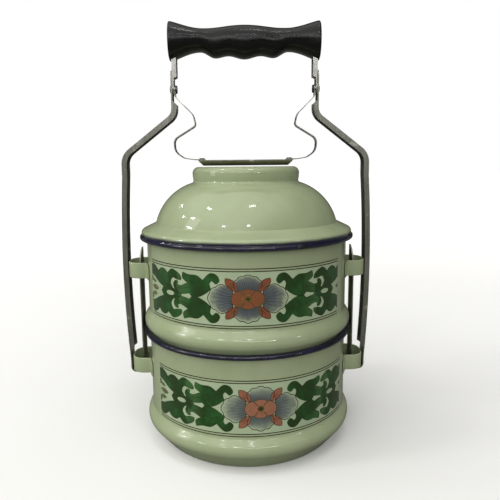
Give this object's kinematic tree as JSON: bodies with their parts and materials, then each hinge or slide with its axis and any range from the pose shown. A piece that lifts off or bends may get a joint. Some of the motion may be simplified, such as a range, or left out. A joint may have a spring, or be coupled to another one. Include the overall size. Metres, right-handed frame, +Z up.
{
  "type": "tiffin carrier",
  "caption": "Stacked enamelled food bowls with belt-loop ears and a domed lid, held in a strip-steel carrying frame with a finger grip and a swing-over spring clamp.",
  "frame": {"origin": "centre of the lower bowl's foot, on the surface it stands on", "axes": "+Z up along the bowls' axis, X through the ears and the frame's legs, front is -Y"},
  "size_m": [0.19, 0.1618, 0.3108],
  "materials": {
    "enamel": "glossy vitreous enamel, pale green with navy rims and a flower band",
    "strip_steel": "dull rolled strip, handled and stained",
    "strap_steel": "dull zinc plate",
    "spring_steel": "thin bright spring strip",
    "rivet_steel": "dark headed steel rivets",
    "grip_plastic": "moulded black plastic"
  },
  "bodies": {
    "base": {"lower_bowl": "enamel", "lower_right_ear": "enamel", "lower_left_ear": "enamel", "right_leg": "strip_steel", "left_leg": "strip_steel", "handle_strap": "strap_steel", "handle_grip": "grip_plastic", "right_pivot_pin": "rivet_steel", "left_pivot_pin": "rivet_steel", "lap_rivets": "rivet_steel"},
    "upper_tier": {"upper_bowl": "enamel", "upper_right_ear": "enamel", "upper_left_ear": "enamel"},
    "lid": {"lid": "enamel"},
    "clamp": {"right_spring": "spring_steel", "left_spring": "spring_steel", "clamp_bar": "strip_steel", "bar_rivets": "rivet_steel"}
  },
  "joints": [
    {"name": "clamp_swing", "type": "hinge", "parent": "base", "child": "clamp", "pos_m": [0, 0, 0.263], "axis": [1, 0, 0], "range_deg": [0, 140]},
    {"name": "upper_bowl_lift", "type": "slide", "parent": "base", "child": "upper_tier", "axis": [0, 0, 1], "range_m": [0, 0.0085]},
    {"name": "lid_lift", "type": "slide", "parent": "upper_tier", "child": "lid", "axis": [0, 0, 1], "range_m": [0, 0.0105]}
  ],
  "couplings": [
    {"joint": "clamp_swing", "follows": "upper_bowl_lift", "rad_per_m": 287.4},
    {"joint": "lid_lift", "follows": "upper_bowl_lift", "ratio": 1.235}
  ]
}
